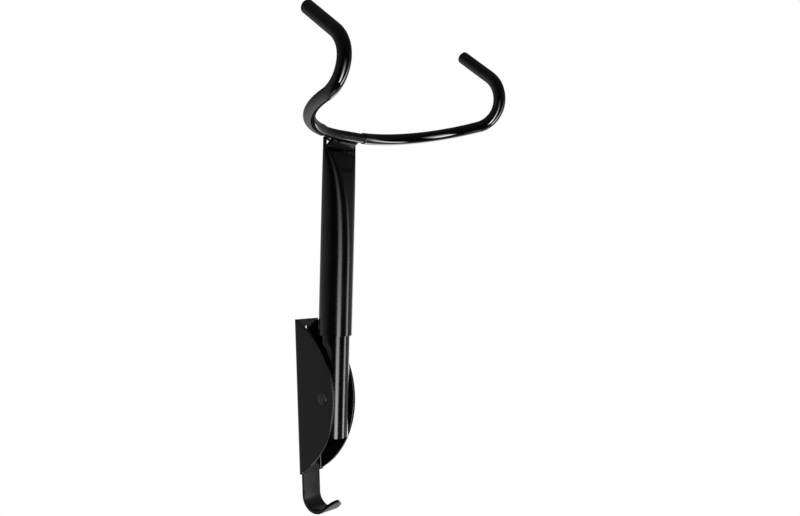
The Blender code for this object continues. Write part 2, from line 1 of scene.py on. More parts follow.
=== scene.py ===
"""Folding wall rack for one bicycle, folded up, in a plain white studio.

Metres, +Z up. The origin is on the wall behind the fold rivet, and the room is on the -Y side.
Positions on a piece are given as across (X), forward (away from the wall or the arm's back) and up.
"""
import math

import bmesh
import bpy
from mathutils import Matrix, Vector


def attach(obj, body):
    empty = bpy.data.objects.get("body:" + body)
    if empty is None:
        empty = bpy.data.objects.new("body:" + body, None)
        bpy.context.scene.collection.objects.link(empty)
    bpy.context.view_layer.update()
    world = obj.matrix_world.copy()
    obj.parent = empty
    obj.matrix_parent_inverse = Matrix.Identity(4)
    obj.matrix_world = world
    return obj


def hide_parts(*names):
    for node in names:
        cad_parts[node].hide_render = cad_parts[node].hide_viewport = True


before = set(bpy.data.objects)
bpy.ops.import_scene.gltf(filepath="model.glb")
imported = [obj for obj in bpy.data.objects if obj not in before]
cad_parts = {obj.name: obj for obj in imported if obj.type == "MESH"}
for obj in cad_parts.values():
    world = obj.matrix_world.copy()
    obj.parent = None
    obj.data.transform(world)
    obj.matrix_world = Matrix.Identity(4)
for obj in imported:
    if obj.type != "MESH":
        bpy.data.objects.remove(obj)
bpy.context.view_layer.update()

MM = 0.001
ACROSS = Vector((1, 0, 0))
FORWARD = Vector((0, -1, 0))
UP = Vector((0, 0, 1))

# Bracket
SHEET = 3.5 * MM
BRACKET_HEIGHT = 180.0 * MM
BRACKET_INNER_WIDTH = 32.3 * MM
BRACKET_BEND = 1.5 * MM
EAR_DEPTH = 57.8 * MM
CORNER_RADIUS = 2.5 * MM
SCREW_HOLE = 5.5 * MM
SCREW_HOLES_UP = (80.0 * MM, -56.0 * MM)
STRAP_WIDTH = 26.8 * MM
STRAP_ROOT = 10.0 * MM
STRAP_DROP = 24.8 * MM
CURL_RADIUS = 18.2 * MM
CURL_TURN = math.radians(131.8)
LIP_LENGTH = 12.4 * MM

# Fold joint
PIVOT_FORWARD = 42.1 * MM
LEAN = math.radians(4.2)
RIVET_DIAMETER = 8.0 * MM
RIVET_HEAD = 14.0 * MM
RIVET_HEAD_HEIGHT = 2.4 * MM
RIVET_TAIL = 13.0 * MM
RIVET_TAIL_HEIGHT = 2.0 * MM
GAP = 0.3 * MM
PIN_CLEARANCE = 0.35 * MM

# Pivot tube
TUBE_DIAMETER = 33.7 * MM
TUBE_WALL = 2.0 * MM
TAIL_LENGTH = 45.5 * MM
TAIL_SQUARE = 12.0 * MM
STOP_CLEARANCE = 0.3 * MM
TUBE_TOP = 151.4 * MM
FLATS_HALF_WIDTH = 14.65 * MM
FLATS_TOP = 52.0 * MM
FLATS_FADE = 16.0 * MM

# Sleeve
SLEEVE_DIAMETER = 38.6 * MM
SLEEVE_WALL = 2.0 * MM
SLEEVE_START = 71.4 * MM
PRESS_LINE = 285.5 * MM
PRESSED_THICKNESS = 4.2 * MM
PRESSED_WIDTH = 54.6 * MM
PRESS_FORWARD = 0.3 * MM
PRESS_FADE = 31.0 * MM
PRESS_REACH = 125.0 * MM
CAVITY_END = 4.0 * MM
TAB_WIDTH = 42.0 * MM
TAB_THICKNESS = 4.0 * MM
TAB_RISE = 1.5 * MM
TAB_BEND = 2.5 * MM
HORN_WIDTH = 3.6 * MM
HORN_HEIGHT = 11.0 * MM
FINGER_WIDTH = 10.0 * MM
FINGER_REACH = 9.0 * MM
FINGER_DROP = 1.5 * MM
FINGER_BEND = 2.0 * MM
FINGER_ROOT = 6.0 * MM
SWIVEL_LIMIT = math.radians(20.0)
SWIVEL_SCREW_UP = 14.0 * MM
SWIVEL_SCREW = 5.0 * MM
SWIVEL_HEAD = 9.5 * MM
SWIVEL_HEAD_HEIGHT = 2.4 * MM
SWIVEL_SCREW_DEPTH = 10.0 * MM
INSERT_WALL = 1.0 * MM
HEX_WIDTH = 3.0 * MM
HEX_DEPTH = 1.4 * MM

# Cradle
ROD_DIAMETER = 11.0 * MM
CROSSBAR_UP = 298.7 * MM
CROSSBAR_FORWARD = 13.6 * MM
CROSSBAR_HALF = 14.8 * MM
PLAN_RADIUS = 125.9 * MM
PLAN_TURN = math.radians(92.0)
LEG_SLOPE = math.radians(13.5)
LEG_LENGTH = 90.2 * MM
HOOK_RADIUS = 33.1 * MM
TIP_SLOPE = math.radians(35.8)
TIP_LENGTH = 50.0 * MM
GRIP_START_LEFT = 50.0 * MM
GRIP_START_RIGHT = 25.0 * MM
GRIP_THIN = 13.0 * MM
GRIP_THICK = 14.6 * MM
GRIP_SWELL_START = 20.0 * MM
GRIP_SWELL_LENGTH = 90.0 * MM
GRIP_TIP = 5.0 * MM
GRIP_CROWN = 4.4 * MM
COAT_CLEARANCE = 0.1 * MM

# Welds: a ripple is a share of the bead's radius and its radians from ring to ring, and a tack is a name,
# its place across, forward and up on the arm, and its radius
BEAD_DIAMETER = 3.8 * MM
BEAD_LENGTH = 31.0 * MM
BEAD_RIPPLES = ((0.05, 0.75), (0.03, 0.31))
BEAD_END_POWER = 14
BEAD_END_RADIUS = 0.05 * MM
TACK_LUMP = 0.08
TACK_LUMP_TURNS = 5.0
TACKS = (
    ("weld_tack_left", -23.0 * MM, 4.5 * MM, 295.0 * MM, 3.4 * MM),
    ("weld_tack_right", 23.0 * MM, 4.5 * MM, 295.0 * MM, 3.4 * MM),
)

# Rounded edges
SHEET_ROUNDING = 0.55 * MM
EAR_ROUNDING_START = 8.75 * MM
TUBE_ROUNDING = 0.35 * MM
SLEEVE_ROUNDING = 0.3 * MM
TAB_ROUNDING = 0.5 * MM
HORN_ROUNDING = 1.0 * MM
RIVET_ROUNDING = 0.3 * MM
SCREW_ROUNDING = 0.15 * MM
SHARP_EDGE = math.radians(40.0)
SLIVER = 0.02 * MM

# Fineness
TUBE_SIDES = 128
ROD_SIDES = 48
PIN_SIDES = 48
HEX_SIDES = 6
BEAD_SIDES = 24
BEAD_STEPS = 140
EAR_STEPS = 120
CURL_STEPS = 48
LIP_STEPS = 24
FLATS_STEPS = 12
PRESS_STEPS = 64
PRESS_CROWDING = 1.5
SLOT_STEPS = 32
PLAN_STEPS = 48
HOOK_STEPS = 64
TIP_STEPS = 4
GRIP_EDGE_STEPS = 6
DOME_STEPS = 14
TACK_STEPS = 24
BEND_STEPS = 10

# Surfaces: a noise is its scale in cycles per metre and its detail, and a bump has a height as well
NOISE_LOW = 0.3     # values that a noise seldom passes
NOISE_HIGH = 0.7
SATIN_PAINT = {"cloud": (35.0, 3.0), "dark": (0.0006, 0.0006, 0.0007), "light": (0.0016, 0.0016, 0.0017),
               "rough": (0.15, 0.19)}
SATIN_PEEL = ((420.0, 1.0, 0.006 * MM), (2600.0, 1.0, 0.0012 * MM))
WELD_LUMPS = (480.0, 2.0, 0.22 * MM)

# Camera, fitted to the photograph
CAMERA_EYE = (-0.76131, -0.72109, 0.13203)
CAMERA_TURN = math.radians(52.866)
CAMERA_TILT = math.radians(-1.409)
CAMERA_ROLL = math.radians(-2.009)
CAMERA_LENS = 39.553
CAMERA_SENSOR = 36.0

# Studio; headings are in degrees from straight out of the wall toward the rack's right
RACK_MIDDLE = Vector((0.0, -0.06, 0.13))
WORLD_LIGHT = 0.78          # strength on all that isn't seen or mirrored
FLOOR_UP = -0.8
FLOOR_RADIUS = 1.2
FLOOR_GREY = (0.92, 0.92, 0.92, 1.0)
FLOOR_FADE = (0.35, 0.95)   # shares of its radius
FLOOR_GLOW = 0.3            # as WORLD_LIGHT, at the floor's edge
TENT_RADIUS = 0.95
TENT_BLACK = 0.015
TENT_GREY_LOW = 0.68        # added where the tent is low and behind the rack
TENT_GREY_HIGH = 0.06       # and where it is high
TENT_GREY_HEADING = 145.0
TENT_GREY_RISE = 25.0
TENT_GREY_AROUND = (-0.6, 0.35)  # shares of its radius
TENT_GREY_UP = (-0.8, 0.6)

# Lamps: name, heading, elevation, distance, width, height and radiance
LAMPS = (
    ("lamp_front", -29.0, 30.0, 1.6, 0.8, 0.8, 4.2),
    ("lamp_right", 39.0, 30.0, 1.6, 0.8, 0.8, 2.4),
)

# Softboxes: name, heading, distance, bottom, top, width and radiance
SOFTBOXES = (
    ("softbox_front", -28.0, 0.6, -0.6, 0.38, 0.23, 13.0),
    ("softbox_right", 37.0, 0.6, -0.6, 0.38, 0.135, 12.0),
    ("softbox_side", 108.0, 0.6, -0.3, 0.4, 0.2, 3.0),
)
SOFTBOX_EDGE = 0.5          # share of its half width over which each side fades
SOFTBOX_RISE = 0.1          # share of its height over which it brightens from its bottom
SOFTBOX_FALL = 0.15         # share of its height above which it fades

ARM = Matrix.Translation((0, -PIVOT_FORWARD, 0)) @ Matrix.Rotation(LEAN, 4, "X")
IDENTITY = Matrix.Identity(4)


def at(across, forward, up):
    """A point from its distances across, forward and up."""
    return Vector((across, -forward, up))


def smooth(share):
    """Eases from 0 to 1 as the share goes from 0 to 1."""
    share = min(max(share, 0.0), 1.0)
    return share * share * (3.0 - 2.0 * share)


def arc(centre, radius, start, end, steps):
    """Points of an arc in a plane, as pairs."""
    angles = [start + (end - start) * k / steps for k in range(steps + 1)]
    return [(centre[0] + radius * math.cos(a), centre[1] + radius * math.sin(a)) for a in angles]


def circle(centre, side, other, radius, count):
    """A ring round a point, in the plane of two unit vectors."""
    angles = [2.0 * math.pi * (k + 0.5) / count for k in range(count)]
    return [centre + side * (radius * math.cos(a)) + other * (radius * math.sin(a)) for a in angles]


def turned(profile, origin, axis, side, count=PIN_SIDES):
    """Rings of a round piece from pairs of distance along its axis and radius."""
    other = axis.cross(side)
    return [circle(origin + axis * distance, side, other, radius, count) for distance, radius in profile]


def squashed(radius, flat, forward, up):
    """A ring of a tube squashed from front to back, with flats of a half length and round sides."""
    ring = circle(at(0, forward, up), ACROSS, FORWARD, radius, TUBE_SIDES)
    for point in ring:
        point.x += math.copysign(flat, point.x)
    return ring


def strip(path, half_widths, thickness, across=0.0):
    """Rings of a bent flat strip along (forward, up) pairs, with a half width for each of them."""
    rings = []
    for k, (forward, up) in enumerate(path):
        before, after = path[max(k - 1, 0)], path[min(k + 1, len(path) - 1)]
        along = Vector((after[0] - before[0], after[1] - before[1])).normalized()
        reach = (-along.y * thickness / 2, along.x * thickness / 2)
        low = (forward - reach[0], up - reach[1])
        high = (forward + reach[0], up + reach[1])
        wide = half_widths[k]
        rings.append([at(across - wide, *low), at(across + wide, *low),
                      at(across + wide, *high), at(across - wide, *high)])
    return rings


def prism(outline, low, high):
    """Two rings of an outline of (forward, up) pairs, from one place across to another."""
    return [[at(across, forward, up) for forward, up in outline] for across in (low, high)]


def mesh_object(name, bm):
    """A new object in the scene from a mesh under construction, which is then gone."""
    mesh = bpy.data.meshes.new(name)
    bm.to_mesh(mesh)
    bm.free()
    thing = bpy.data.objects.new(name, mesh)
    bpy.context.scene.collection.objects.link(thing)
    return thing


def loft(name, rings, loop=False, place=IDENTITY):
    """A closed object skinned over rings, which join up in a loop or are closed by a face at each end."""
    bm = bmesh.new()
    rows = [[bm.verts.new(place @ point) for point in ring] for ring in rings]
    if loop:
        rows.append(rows[0])
    else:
        bm.faces.new(rows[0])
        bm.faces.new(rows[-1])
    for low, high in zip(rows, rows[1:]):
        count = len(low)
        for i in range(count):
            j = (i + 1) % count
            bm.faces.new((low[i], low[j], high[j], high[i]))
    bmesh.ops.recalc_face_normals(bm, faces=bm.faces)
    return mesh_object(name, bm)


def bake(thing):
    """Applies an object's modifiers."""
    graph = bpy.context.evaluated_depsgraph_get()
    graph.update()
    mesh = bpy.data.meshes.new_from_object(thing.evaluated_get(graph), preserve_all_data_layers=True,
                                           depsgraph=graph)
    old = thing.data
    thing.modifiers.clear()
    thing.data = mesh
    mesh.name = thing.name
    bpy.data.meshes.remove(old)


def combine(target, tool, operation):
    """Adds, cuts or keeps what lies inside a tool, which is then gone."""
    modifier = target.modifiers.new(tool.name, "BOOLEAN")
    modifier.operation = operation
    modifier.object = tool
    modifier.solver = "EXACT"
    bake(target)
    bpy.data.objects.remove(tool, do_unlink=True)


def mark_edges(thing, chosen):
    """Marks the sharp edges to be rounded, chosen by where their middles are."""
    bm = bmesh.new()
    bm.from_mesh(thing.data)
    weight = bm.edges.layers.float.new("bevel_weight_edge")
    for edge in bm.edges:
        middle = (edge.verts[0].co + edge.verts[1].co) / 2
        if edge.is_manifold and edge.calc_face_angle() > SHARP_EDGE and chosen(middle):
            edge[weight] = 1.0
    bm.to_mesh(thing.data)
    bm.free()


def soften(thing, width, segments=3, chosen=None):
    """Rounds an object's sharp edges, or only those chosen, and smooths its shading."""
    if width:
        bevel = thing.modifiers.new("rounding", "BEVEL")
        bevel.width = width
        bevel.segments = segments
        bevel.limit_method = "ANGLE"
        bevel.angle_limit = SHARP_EDGE
        bevel.miter_outer = "MITER_ARC"
        if chosen:
            mark_edges(thing, chosen)
            bevel.limit_method = "WEIGHT"
            bevel.use_clamp_overlap = False
    thing.data.shade_smooth()
    weighted = thing.modifiers.new("weighting", "WEIGHTED_NORMAL")
    weighted.keep_sharp = True
    weighted.weight = 100
    bake(thing)


def piece(thing, body, surface, replaced=(), rounding=0.0, segments=3, chosen=None):
    """Finishes a piece: edges, material, the body it rides on and the nodes that it stands for."""
    soften(thing, rounding, segments, chosen)
    thing.data.materials.clear()
    thing.data.materials.append(surface)
    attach(thing, body)
    if replaced:
        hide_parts(*replaced)
    return thing


def pin(name, length, diameter, origin, axis, side, place=IDENTITY):
    """A plain round pin centred on a point, for cutting holes."""
    profile = [(-length / 2, diameter / 2), (length / 2, diameter / 2)]
    return loft(name, turned(profile, origin, axis, side), place=place)


def dome(radius, height):
    """Pairs of distance and radius for a dome, from its rim to near its crown."""
    angles = [math.pi / 2 * k / (DOME_STEPS + 1) for k in range(DOME_STEPS + 1)]
    return [(height * math.sin(a), radius * math.cos(a)) for a in angles]


def channel_section(up):
    """The bracket's U section: outer contour and back along the inner one."""
    outer = BRACKET_INNER_WIDTH / 2 + SHEET
    inner = BRACKET_INNER_WIDTH / 2
    bend = BRACKET_BEND + SHEET
    front = EAR_DEPTH + SHEET
    pairs = [(-outer, front)]
    pairs += arc((-outer + bend, bend), bend, math.pi, math.pi * 1.5, BEND_STEPS)
    pairs += arc((outer - bend, bend), bend, -math.pi / 2, 0.0, BEND_STEPS)
    pairs += [(outer, front), (inner, front)]
    pairs += arc((outer - bend, bend), BRACKET_BEND, 0.0, -math.pi / 2, BEND_STEPS)
    pairs += arc((-outer + bend, bend), BRACKET_BEND, math.pi * 1.5, math.pi, BEND_STEPS)
    pairs += [(-inner, front)]
    return [at(across, forward, up) for across, forward in pairs]


def ear_outline():
    """Side outline that the channel is trimmed to: the web's full height and a round front edge."""
    half = BRACKET_HEIGHT / 2
    radius = (half * half + EAR_DEPTH * EAR_DEPTH) / (2.0 * EAR_DEPTH)
    swing = math.acos((radius - EAR_DEPTH + SHEET) / radius)
    beyond = half + SHEET
    front = arc((EAR_DEPTH - radius, 0.0), radius, -swing, swing, EAR_STEPS)
    inset = half - CORNER_RADIUS
    upper = arc((CORNER_RADIUS, inset), CORNER_RADIUS, math.pi / 2, math.pi, BEND_STEPS)
    lower = arc((CORNER_RADIUS, -inset), CORNER_RADIUS, math.pi, math.pi * 1.5, BEND_STEPS)
    return [*lower, (SHEET, -half), (SHEET, -beyond), *front, (SHEET, beyond), (SHEET, half), *upper]


def strap_point(length):
    """Middle line of the tongue at a length below the web: down, round the curl and out along the lip."""
    turn = min(max((length - STRAP_DROP) / CURL_RADIUS, 0.0), CURL_TURN)
    heading = turn - math.pi / 2
    beyond = max(length - STRAP_DROP - CURL_RADIUS * CURL_TURN, 0.0)
    forward = SHEET / 2 + CURL_RADIUS * (1.0 - math.cos(turn)) + beyond * math.cos(heading)
    down = min(length, STRAP_DROP) + CURL_RADIUS * math.sin(turn) - beyond * math.sin(heading)
    return forward, -BRACKET_HEIGHT / 2 - down


def strap_rings():
    """The tongue at its full width, and a half circle at its lip."""
    full = STRAP_WIDTH / 2
    total = STRAP_DROP + CURL_RADIUS * CURL_TURN + LIP_LENGTH
    straight = total - full
    curl = [STRAP_DROP + (straight - STRAP_DROP) * k / CURL_STEPS for k in range(CURL_STEPS)]
    rounding = [k * math.pi / 2 / LIP_STEPS for k in range(LIP_STEPS)]
    lengths = [-STRAP_ROOT] + curl + [straight + full * math.sin(angle) for angle in rounding]
    half_widths = [full] * (1 + CURL_STEPS) + [full * math.cos(angle) for angle in rounding]
    return strip([strap_point(length) for length in lengths], half_widths, SHEET - SLIVER)


def rounded_on_bracket(middle):
    """True for the edges of the ears' front and the web's upper end, away from holes and corners."""
    forward = -middle.y
    half = BRACKET_HEIGHT / 2
    from_pivot = math.hypot(forward - PIVOT_FORWARD, middle.z)
    on_ear = forward > EAR_ROUNDING_START and from_pivot > RIVET_HEAD
    on_web_end = abs(middle.x) < BRACKET_INNER_WIDTH / 2 - SHEET and middle.z > half - SLIVER
    return on_ear or on_web_end


def make_bracket(surface):
    """Web and two ears, and the strap hook on the same sheet, whose joint with the web can't be seen."""
    half = BRACKET_HEIGHT / 2
    bracket = loft("bracket_sheet", [channel_section(-half), channel_section(half)])
    wide = BRACKET_INNER_WIDTH / 2 + 2 * SHEET
    combine(bracket, loft("ears", prism(ear_outline(), -wide, wide)), "INTERSECT")
    hole = RIVET_DIAMETER + 2 * PIN_CLEARANCE
    combine(bracket, pin("rivet_hole", 4 * wide, hole, at(0, PIVOT_FORWARD, 0), ACROSS, UP), "DIFFERENCE")
    for up in SCREW_HOLES_UP:
        cutter = pin("screw_hole", 4 * SHEET, SCREW_HOLE, at(0, 0, up), FORWARD, ACROSS)
        combine(bracket, cutter, "DIFFERENCE")
    piece(bracket, "bracket", surface, ["wall_bracket"],
          SHEET_ROUNDING, 4, rounded_on_bracket)
    strap = loft("strap_hook", strap_rings())
    piece(strap, "bracket", surface, rounding=SHEET_ROUNDING, segments=4)


def make_rivet(surface):
    """Rivet through both ears, with a dished head on the left and a set tail on the right."""
    face = BRACKET_INNER_WIDTH / 2 + SHEET + GAP
    head = [(face + distance, radius) for distance, radius in dome(RIVET_HEAD / 2, RIVET_HEAD_HEIGHT)]
    tail = [(face + distance, radius) for distance, radius in dome(RIVET_TAIL / 2, RIVET_TAIL_HEIGHT)]
    shank = RIVET_DIAMETER / 2
    profile = [(-distance, radius) for distance, radius in reversed(head)]
    profile += [(-face, shank), (face, shank), *tail]
    rivet = loft("rivet", turned(profile, at(0, PIVOT_FORWARD, 0), ACROSS, UP))
    piece(rivet, "bracket", surface, ["pivot_rivet"], RIVET_ROUNDING)


def flatted(radius, half_width, up):
    """A ring of a round tube whose sides are pressed flat to a half width."""
    ring = circle(at(0, 0, up), ACROSS, FORWARD, radius, TUBE_SIDES)
    for point in ring:
        point.x = min(max(point.x, -half_width), half_width)
    return ring


def stop_angle():
    """Lean of the arm from upright when its cut tail meets the web."""
    reach = PIVOT_FORWARD - SHEET - STOP_CLEARANCE
    return (math.asin(reach / math.hypot(TAIL_LENGTH, TAIL_SQUARE))
            + math.atan2(TAIL_SQUARE, TAIL_LENGTH))


def make_tube(surface):
    """Lower tube, flat-sided at the rivet and cut away at its lower back so that it can swing down."""
    fade = [FLATS_TOP + FLATS_FADE * k / FLATS_STEPS for k in range(FLATS_STEPS + 1)]
    heights = [-TAIL_LENGTH] + fade + [TUBE_TOP]
    radius = TUBE_DIAMETER / 2
    outer = []
    inner = []
    for up in heights:
        spread = smooth((up - FLATS_TOP) / FLATS_FADE)
        half_width = FLATS_HALF_WIDTH + (radius - FLATS_HALF_WIDTH) * spread
        outer.append(flatted(radius, half_width, up))
        inner.append(flatted(radius - TUBE_WALL, half_width - TUBE_WALL, up))
    tube = loft("tube", outer + inner[::-1], True, ARM)
    hole = RIVET_DIAMETER + 2 * PIN_CLEARANCE
    combine(tube, pin("hole", 2 * TUBE_DIAMETER, hole, Vector(), ACROSS, UP, ARM), "DIFFERENCE")
    lean = stop_angle()
    toward_wall = Vector((-math.cos(lean), -math.sin(lean)))
    along_cut = Vector((-math.sin(lean), math.cos(lean)))
    corner = Vector((TAIL_SQUARE, -TAIL_LENGTH))
    wedge = [corner - along_cut * TUBE_DIAMETER, corner + along_cut * 2 * TUBE_DIAMETER]
    wedge += [point + toward_wall * TUBE_DIAMETER for point in reversed(wedge)]
    rings = prism([tuple(point) for point in wedge], -TUBE_DIAMETER, TUBE_DIAMETER)
    combine(tube, loft("tail", rings, place=ARM), "DIFFERENCE")
    seat = SWIVEL_SCREW + 2 * (PIN_CLEARANCE + INSERT_WALL + GAP)
    place = at(0, -TUBE_DIAMETER / 2, SLEEVE_START + SWIVEL_SCREW_UP)
    combine(tube, pin("insert", 4 * TUBE_WALL, seat, place, FORWARD, ACROSS, ARM), "DIFFERENCE")
    piece(tube, "arm", surface, ["pivot_tube"], TUBE_ROUNDING)


def press_flat(below):
    """Half length of the sleeve's flats at a distance below the press line."""
    full = (PRESSED_WIDTH - PRESSED_THICKNESS) / 2
    if below >= PRESS_REACH:
        return 0.0
    last = math.exp(-PRESS_REACH / PRESS_FADE)
    return full * (math.exp(-below / PRESS_FADE) - last) / (1.0 - last)


def sleeve_rings():
    """Inner rings from the closed top down, then outer rings from the bottom up to the pressed end."""
    distances = [PRESS_REACH * (k / PRESS_STEPS) ** PRESS_CROWDING for k in range(PRESS_STEPS + 1)]
    heights = [SLEEVE_START] + [PRESS_LINE - below for below in reversed(distances)]
    heights.append(PRESS_LINE + TAB_RISE)
    outer = []
    inner = []
    full = press_flat(0.0)
    for up in heights:
        flat = press_flat(max(PRESS_LINE - up, 0.0))
        radius = (SLEEVE_DIAMETER - (SLEEVE_DIAMETER - PRESSED_THICKNESS) * flat / full) / 2
        forward = PRESS_FORWARD * flat / full
        outer.append(squashed(radius, flat, forward, up))
        if up <= PRESS_LINE - CAVITY_END:
            inner.append(squashed(radius - SLEEVE_WALL, flat, forward, up))
    return inner[::-1] + outer


def slot_rings():
    """Cutter for the slot at the sleeve's back in which the swivel screw stands."""
    half_height = SWIVEL_SCREW / 2 + PIN_CLEARANCE
    up = SLEEVE_START + SWIVEL_SCREW_UP
    low = TUBE_DIAMETER / 2 - TUBE_WALL
    high = SLEEVE_DIAMETER / 2 + TUBE_WALL
    reach = SWIVEL_LIMIT + math.asin(half_height / (TUBE_DIAMETER / 2))
    corners = [(low, -half_height), (high, -half_height), (high, half_height), (low, half_height)]
    rings = []
    for k in range(SLOT_STEPS + 1):
        angle = reach * (2 * k / SLOT_STEPS - 1)
        rings.append([at(radius * math.sin(angle), -radius * math.cos(angle), up + height)
                      for radius, height in corners])
    return rings


def make_sleeve(surface):
    """Upper tube, pressed flat at its top, with a finger tab at its foot."""
    sleeve = loft("sleeve", sleeve_rings(), place=ARM)
    back = -(SLEEVE_DIAMETER - SLEEVE_WALL) / 2
    foot = SLEEVE_START - FINGER_DROP + SLEEVE_WALL / 2
    path = [(back, foot + FINGER_BEND + FINGER_ROOT)]
    path += arc((back - FINGER_BEND, foot + FINGER_BEND), FINGER_BEND, 0.0, -math.pi / 2, BEND_STEPS)
    path.append((-SLEEVE_DIAMETER / 2 - FINGER_REACH, foot))
    rings = strip(path, [FINGER_WIDTH / 2] * len(path), SLEEVE_WALL)
    combine(sleeve, loft("finger", rings, place=ARM), "UNION")
    combine(sleeve, loft("slot", slot_rings(), place=ARM), "DIFFERENCE")
    piece(sleeve, "cradle", surface, ["arm_sleeve"], SLEEVE_ROUNDING)


def tab_bend():
    """How far the middle of the pressed end bends forward to point at the rod's middle."""
    return math.atan2(CROSSBAR_FORWARD - PRESS_FORWARD, CROSSBAR_UP - PRESS_LINE - TAB_RISE)


def make_tab(surface):
    """Middle of the pressed end, bent forward to the rod, and the upright corners beside it."""
    crease = PRESS_LINE + TAB_RISE
    bend = tab_bend()
    reach = math.hypot(CROSSBAR_FORWARD - PRESS_FORWARD, CROSSBAR_UP - crease)
    length = reach - ROD_DIAMETER / 2 - GAP
    start = crease - TAB_BEND * math.tan(bend / 2)
    path = [(PRESS_FORWARD, crease - 2 * TAB_THICKNESS)]
    path += arc((PRESS_FORWARD + TAB_BEND, start), TAB_BEND, math.pi, math.pi - bend, BEND_STEPS)
    path.append((PRESS_FORWARD + length * math.sin(bend), crease + length * math.cos(bend)))
    tab = loft("rod_tab", strip(path, [TAB_WIDTH / 2] * len(path), TAB_THICKNESS), place=ARM)
    piece(tab, "cradle", surface, rounding=TAB_ROUNDING, segments=4)
    half_end = PRESSED_WIDTH / 2
    for name, side in (("tab_horn_left", -1), ("tab_horn_right", 1)):
        path = [(PRESS_FORWARD, crease - TAB_THICKNESS), (PRESS_FORWARD, PRESS_LINE + HORN_HEIGHT)]
        across = side * (half_end - HORN_WIDTH / 2 - GAP)
        rings = strip(path, [HORN_WIDTH / 2] * 2, PRESSED_THICKNESS - 2 * GAP, across)
        horn = loft(name, rings, place=ARM)
        piece(horn, "cradle", surface, rounding=HORN_ROUNDING, segments=5)


def make_screw(surface):
    """Low-headed screw with a hex socket, from behind through the sleeve's slot."""
    seat = SLEEVE_DIAMETER / 2 + GAP
    head, shank = SWIVEL_HEAD / 2, SWIVEL_SCREW / 2
    crown = dome(head, SWIVEL_HEAD_HEIGHT)
    profile = [(-seat - distance, radius) for distance, radius in reversed(crown)]
    profile += [(-seat, shank), (-SWIVEL_SCREW_DEPTH, shank)]
    origin = at(0, 0, SLEEVE_START + SWIVEL_SCREW_UP)
    screw = loft("screw", turned(profile, origin, FORWARD, ACROSS), place=ARM)
    top = -seat - SWIVEL_HEAD_HEIGHT
    corner = HEX_WIDTH / math.sqrt(3)
    socket = [(top - HEX_DEPTH, corner), (top + HEX_DEPTH, corner)]
    cutter = loft("hex", turned(socket, origin, FORWARD, ACROSS, HEX_SIDES), place=ARM)
    combine(screw, cutter, "DIFFERENCE")
    piece(screw, "arm", surface, ["swivel_screw"], SCREW_ROUNDING, 2)


def plan_offset(length):
    """How far across the rod is at a length along the side outline."""
    if length < PLAN_RADIUS * (1.0 - math.cos(PLAN_TURN)):
        turn = math.acos(1.0 - length / PLAN_RADIUS)
        return CROSSBAR_HALF + PLAN_RADIUS * math.sin(turn)
    straight = length - PLAN_RADIUS * (1.0 - math.cos(PLAN_TURN))
    return CROSSBAR_HALF + PLAN_RADIUS * math.sin(PLAN_TURN) + straight / math.tan(PLAN_TURN)


def side_outline(length):
    """Forward and up of the rod at a length along the side outline: leg, upward bend, tip."""
    full_turn = math.pi - TIP_SLOPE - LEG_SLOPE
    leg = min(length, LEG_LENGTH)
    turn = min(max((length - LEG_LENGTH) / HOOK_RADIUS, 0.0), full_turn)
    tip = max(length - LEG_LENGTH - HOOK_RADIUS * full_turn, 0.0)
    heading = LEG_SLOPE + turn
    forward = leg * math.cos(LEG_SLOPE) + HOOK_RADIUS * (math.sin(heading) - math.sin(LEG_SLOPE))
    up = leg * math.sin(LEG_SLOPE) + HOOK_RADIUS * (math.cos(LEG_SLOPE) - math.cos(heading))
    return forward + tip * math.cos(heading), up + tip * math.sin(heading)


def rod_point(length):
    """Middle of the rod's right half at a length along the side outline."""
    forward, up = side_outline(length)
    return at(plan_offset(length), CROSSBAR_FORWARD + forward, CROSSBAR_UP + up)


def half_rod(first_turn):
    """Middle line of the rod's right half from a turn in plan to the grip's end."""
    last_turn = math.acos(1.0 - LEG_LENGTH / PLAN_RADIUS)
    turns = [first_turn + (last_turn - first_turn) * k / PLAN_STEPS for k in range(PLAN_STEPS)]
    lengths = [PLAN_RADIUS * (1.0 - math.cos(turn)) for turn in turns]
    hook = HOOK_RADIUS * (math.pi - TIP_SLOPE - LEG_SLOPE)
    lengths += [LEG_LENGTH + hook * k / HOOK_STEPS for k in range(HOOK_STEPS + 1)]
    lengths += [LEG_LENGTH + hook + TIP_LENGTH * k / TIP_STEPS for k in range(1, TIP_STEPS + 1)]
    return [rod_point(length) for length in lengths]


def framed(points):
    """Each point of a line with two unit vectors square to it that turn as little as they can."""
    frames = []
    side = UP.copy()
    for k, point in enumerate(points):
        along = (points[min(k + 1, len(points) - 1)] - points[max(k - 1, 0)]).normalized()
        side = (side - along * side.dot(along)).normalized()
        frames.append((point, along, side))
    return frames


def rod_ring(frame_here, radius, shift=0.0):
    """A ring of the rod or its grip, moved on along the rod by a shift."""
    point, along, side = frame_here
    return circle(point + along * shift, side, along.cross(side), radius, ROD_SIDES)


def mirrored(rings):
    """The same rings on the rack's other side."""
    return [[Vector((-point.x, point.y, point.z)) for point in ring] for ring in rings]


def make_rod(surface):
    """Bent bar through both grips, from end to end."""
    frames = framed([at(0, CROSSBAR_FORWARD, CROSSBAR_UP)] + half_rod(0.0))
    radius = ROD_DIAMETER / 2
    right = [rod_ring(here, radius) for here in frames[1:-1]]
    right.append(rod_ring(frames[-1], radius, -GRIP_TIP))
    rod = loft("rod", mirrored(right)[::-1] + right, place=ARM)
    piece(rod, "cradle", surface, ["cradle_rod"])


